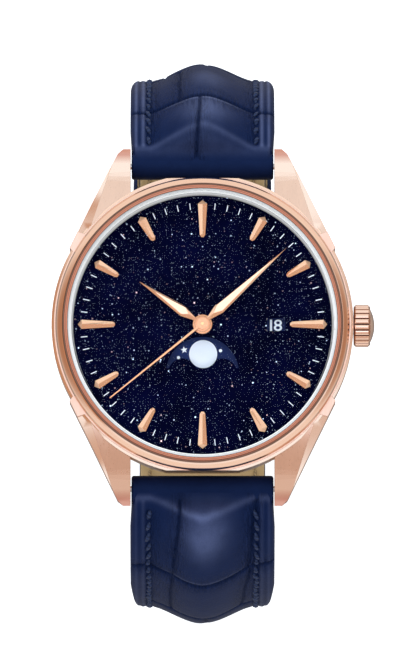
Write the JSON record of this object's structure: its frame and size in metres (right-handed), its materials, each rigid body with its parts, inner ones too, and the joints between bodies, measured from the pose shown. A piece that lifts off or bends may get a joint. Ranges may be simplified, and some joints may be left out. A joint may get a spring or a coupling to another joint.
{
  "type": "wristwatch",
  "caption": "Moon phase wristwatch with a round rose gold case, sparkling night-blue dial, date window, display back and padded navy leather strap with a pin buckle.",
  "frame": {"origin": "centre of the outer face of the case back", "axes": "+Z out through the dial, +Y to twelve o'clock along the strap, +X to three o'clock and the crown"},
  "size_m": [0.0448, 0.0782, 0.074],
  "materials": {
    "rose_satin": "rose gold plated steel, brushed with polished edges",
    "rose_polish": "rose gold plated steel, polished",
    "back_satin": "rose gold plated steel, satin",
    "crystal_glass": "clear, coated against glare",
    "gasket": "pale nylon seal",
    "flange_silver": "silvered, fine satin",
    "dial_night": "night-blue sparkling glass disc",
    "marker_rose": "rose gold plated, faceted and polished",
    "hand_rose": "rose gold plated, faceted and polished",
    "steel_polish": "polished steel",
    "wheel_brass": "gilt brass, circular grained",
    "date_navy": "navy lacquer with white numerals",
    "moon_navy": "navy lacquer with two pale moons and stars",
    "plate_nickel": "nickel plated, spotted grain",
    "holder_steel": "satin steel ring",
    "bridge_nickel": "nickel plated, striped",
    "screw_steel": "blued steel",
    "jewel_red": "polished synthetic ruby",
    "balance_brass": "gilt, polished",
    "spring_steel": "thin blued spring",
    "rotor_rose": "rose gold plated, striped, with a heavy rim",
    "leather_navy": "navy, embossed in scales, semi-gloss",
    "lining_tan": "tan, smooth, matt"
  },
  "bodies": {
    "case": {"case_middle": "rose_satin", "bezel": "rose_polish", "crystal": "crystal_glass", "crystal_gasket": "gasket", "dial_flange": "flange_silver", "dial": "dial_night", "hour_markers": "marker_rose", "main_plate": "plate_nickel", "movement_holder": "holder_steel", "train_bridge": "bridge_nickel", "barrel_bridge": "bridge_nickel", "balance_cock": "bridge_nickel", "bridge_screws": "screw_steel", "jewels": "jewel_red", "barrel_arbor": "steel_polish", "hairspring": "spring_steel", "rotor_screw": "screw_steel", "case_back": "back_satin", "back_crystal": "crystal_glass", "crown_tube": "steel_polish", "spring_bar_12": "steel_polish", "spring_bar_6": "steel_polish"},
    "minute": {"minute_hand": "hand_rose", "cannon_pinion": "steel_polish"},
    "minute_reducer": {"minute_wheel": "wheel_brass"},
    "hour": {"hour_hand": "hand_rose", "hour_wheel": "wheel_brass"},
    "seconds": {"seconds_hand": "hand_rose", "fourth_wheel": "wheel_brass"},
    "third": {"third_wheel": "wheel_brass"},
    "centre": {"centre_wheel": "wheel_brass"},
    "mainspring_barrel": {"barrel": "wheel_brass"},
    "escape": {"escape_wheel": "steel_polish"},
    "pallet": {"pallet_fork": "steel_polish"},
    "balance": {"balance_wheel": "balance_brass"},
    "date": {"date_ring": "date_navy"},
    "moon": {"moon_disc": "moon_navy"},
    "winding_weight": {"rotor": "rotor_rose"},
    "clutch": {"sliding_clutch": "steel_polish"},
    "crown_and_stem": {"crown": "rose_polish", "winding_stem": "steel_polish"},
    "strap_12": {"strap_upper_12": "leather_navy", "strap_lining_12": "lining_tan", "fixed_keeper": "leather_navy"},
    "strap_6": {"strap_upper_6": "leather_navy", "strap_lining_6": "lining_tan"},
    "keeper": {"free_keeper": "leather_navy"},
    "buckle": {"buckle_frame": "rose_polish", "buckle_bar": "steel_polish"},
    "tang": {"buckle_tang": "rose_polish"}
  },
  "joints": [
    {"name": "minute_hand_turn", "type": "hinge", "parent": "case", "child": "minute", "pos_m": [0, 0, 0], "axis": [0, 0, 1], "continuous": true},
    {"name": "minute_wheel_turn", "type": "hinge", "parent": "case", "child": "minute_reducer", "pos_m": [0.00262, 0.00184, 0], "axis": [0, 0, 1], "continuous": true},
    {"name": "hour_hand_turn", "type": "hinge", "parent": "case", "child": "hour", "pos_m": [0, 0, 0], "axis": [0, 0, 1], "continuous": true},
    {"name": "seconds_hand_turn", "type": "hinge", "parent": "case", "child": "seconds", "pos_m": [0, 0, 0], "axis": [0, 0, 1], "continuous": true},
    {"name": "third_wheel_turn", "type": "hinge", "parent": "case", "child": "third", "pos_m": [-0.00068, 0.00384, 0], "axis": [0, 0, 1], "continuous": true},
    {"name": "centre_wheel_turn", "type": "hinge", "parent": "case", "child": "centre", "pos_m": [0, 0, 0], "axis": [0, 0, 1], "continuous": true},
    {"name": "barrel_turn", "type": "hinge", "parent": "case", "child": "mainspring_barrel", "pos_m": [0.00298, -0.00515, 0], "axis": [0, 0, 1], "continuous": true},
    {"name": "escape_wheel_turn", "type": "hinge", "parent": "case", "child": "escape", "pos_m": [-0.00353, -0.00165, 0], "axis": [0, 0, 1], "continuous": true},
    {"name": "pallet_fork_rock", "type": "hinge", "parent": "case", "child": "pallet", "pos_m": [-0.00535, -0.00329, 0], "axis": [0, 0, 1], "range_deg": [-5, 5]},
    {"name": "balance_swing", "type": "hinge", "parent": "case", "child": "balance", "pos_m": [-0.00754, -0.00526, 0], "axis": [0, 0, 1], "range_deg": [-135, 135], "deforming": ["hairspring"]},
    {"name": "date_ring_turn", "type": "hinge", "parent": "case", "child": "date", "pos_m": [0, 0, 0], "axis": [0, 0, 1], "continuous": true},
    {"name": "moon_disc_turn", "type": "hinge", "parent": "case", "child": "moon", "pos_m": [0, -0.00675, 0], "axis": [0, 0, 1], "continuous": true},
    {"name": "winding_weight_turn", "type": "hinge", "parent": "case", "child": "winding_weight", "pos_m": [0, 0, 0], "axis": [0, 0, 1], "continuous": true},
    {"name": "crown_turn", "type": "hinge", "parent": "case", "child": "clutch", "pos_m": [0.0095, 0, 0.0051], "axis": [1, 0, 0], "continuous": true},
    {"name": "crown_pull", "type": "slide", "parent": "clutch", "child": "crown_and_stem", "axis": [1, 0, 0], "range_m": [0, 0.0012]},
    {"name": "strap_12_swing", "type": "hinge", "parent": "case", "child": "strap_12", "pos_m": [0, 0.0225, 0.0024], "axis": [1, 0, 0], "range_deg": [0, 60]},
    {"name": "strap_6_swing", "type": "hinge", "parent": "case", "child": "strap_6", "pos_m": [0, -0.0225, 0.0024], "axis": [-1, 0, 0], "range_deg": [0, 60]},
    {"name": "free_keeper_slide", "type": "slide", "parent": "strap_12", "child": "keeper", "axis": [0, -0.309, -0.9511], "range_m": [-0.004, 0.004]},
    {"name": "buckle_swing", "type": "hinge", "parent": "strap_12", "child": "buckle", "pos_m": [0, 0.01567, -0.05623], "axis": [-1, 0, 0], "range_deg": [-60, 60]},
    {"name": "tang_swing", "type": "hinge", "parent": "buckle", "child": "tang", "pos_m": [0, 0.01567, -0.05623], "axis": [1, 0, 0], "range_deg": [0, 70]}
  ],
  "couplings": [
    {"joint": "minute_wheel_turn", "follows": "minute_hand_turn", "ratio": -0.33333},
    {"joint": "hour_hand_turn", "follows": "minute_hand_turn", "ratio": 0.083333},
    {"joint": "third_wheel_turn", "follows": "seconds_hand_turn", "ratio": -0.13333},
    {"joint": "centre_wheel_turn", "follows": "seconds_hand_turn", "ratio": 0.016667},
    {"joint": "barrel_turn", "follows": "seconds_hand_turn", "ratio": -0.0027778},
    {"joint": "escape_wheel_turn", "follows": "seconds_hand_turn", "ratio": -10}
  ]
}
